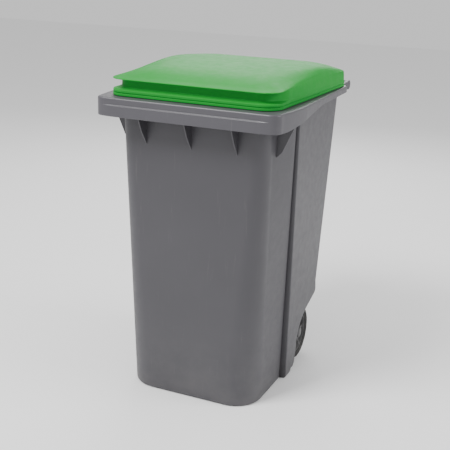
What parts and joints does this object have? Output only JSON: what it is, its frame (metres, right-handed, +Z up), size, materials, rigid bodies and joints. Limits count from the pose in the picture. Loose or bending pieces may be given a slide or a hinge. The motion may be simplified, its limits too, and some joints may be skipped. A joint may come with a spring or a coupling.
{
  "type": "two-wheeled refuse bin",
  "caption": "Tall tapered plastic refuse bin with a comb-lift rim, rear grip bars, a hinged lid with a front lip and rubber-tyred wheels on a steel axle.",
  "frame": {"origin": "on the ground under the centre of the bounding box", "axes": "+Z up, -Y to the front where the lid's lip is, +Y to the grips and wheels, +X to the right seen from the front"},
  "size_m": [0.6626, 0.818, 1.1219],
  "materials": {
    "body_plastic": "fine-grained grey polyethylene",
    "lid_plastic": "satin green polyethylene",
    "tyre_rubber": "solid rubber",
    "hub_plastic": "moulded black plastic",
    "black_plastic": "moulded black plastic",
    "steel": "zinc-plated steel"
  },
  "bodies": {
    "root": {"tub": "body_plastic", "comb_rim": "body_plastic", "comb_ribs": "body_plastic", "left_grip": "body_plastic", "right_grip": "body_plastic", "axle_housing": "body_plastic", "axle": "steel", "wheel_skins": "body_plastic", "left_washer": "steel", "right_washer": "steel", "left_retaining_ring": "steel", "right_retaining_ring": "steel", "left_hinge_pin": "black_plastic", "right_hinge_pin": "black_plastic"},
    "lid": {"lid": "lid_plastic"},
    "left_wheel": {"left_tyre": "tyre_rubber", "left_hub": "hub_plastic", "left_hub_cap": "black_plastic"},
    "right_wheel": {"right_tyre": "tyre_rubber", "right_hub": "hub_plastic", "right_hub_cap": "black_plastic"}
  },
  "joints": [
    {"name": "lid_hinge", "type": "hinge", "parent": "root", "child": "lid", "pos_m": [0, 0.393, 1.02], "axis": [-1, 0, 0], "range_deg": [0, 270]},
    {"name": "left_wheel_spin", "type": "hinge", "parent": "root", "child": "left_wheel", "pos_m": [-0.216, 0.141, 0.1], "axis": [1, 0, 0], "continuous": true},
    {"name": "right_wheel_spin", "type": "hinge", "parent": "root", "child": "right_wheel", "pos_m": [0.216, 0.141, 0.1], "axis": [1, 0, 0], "continuous": true}
  ]
}
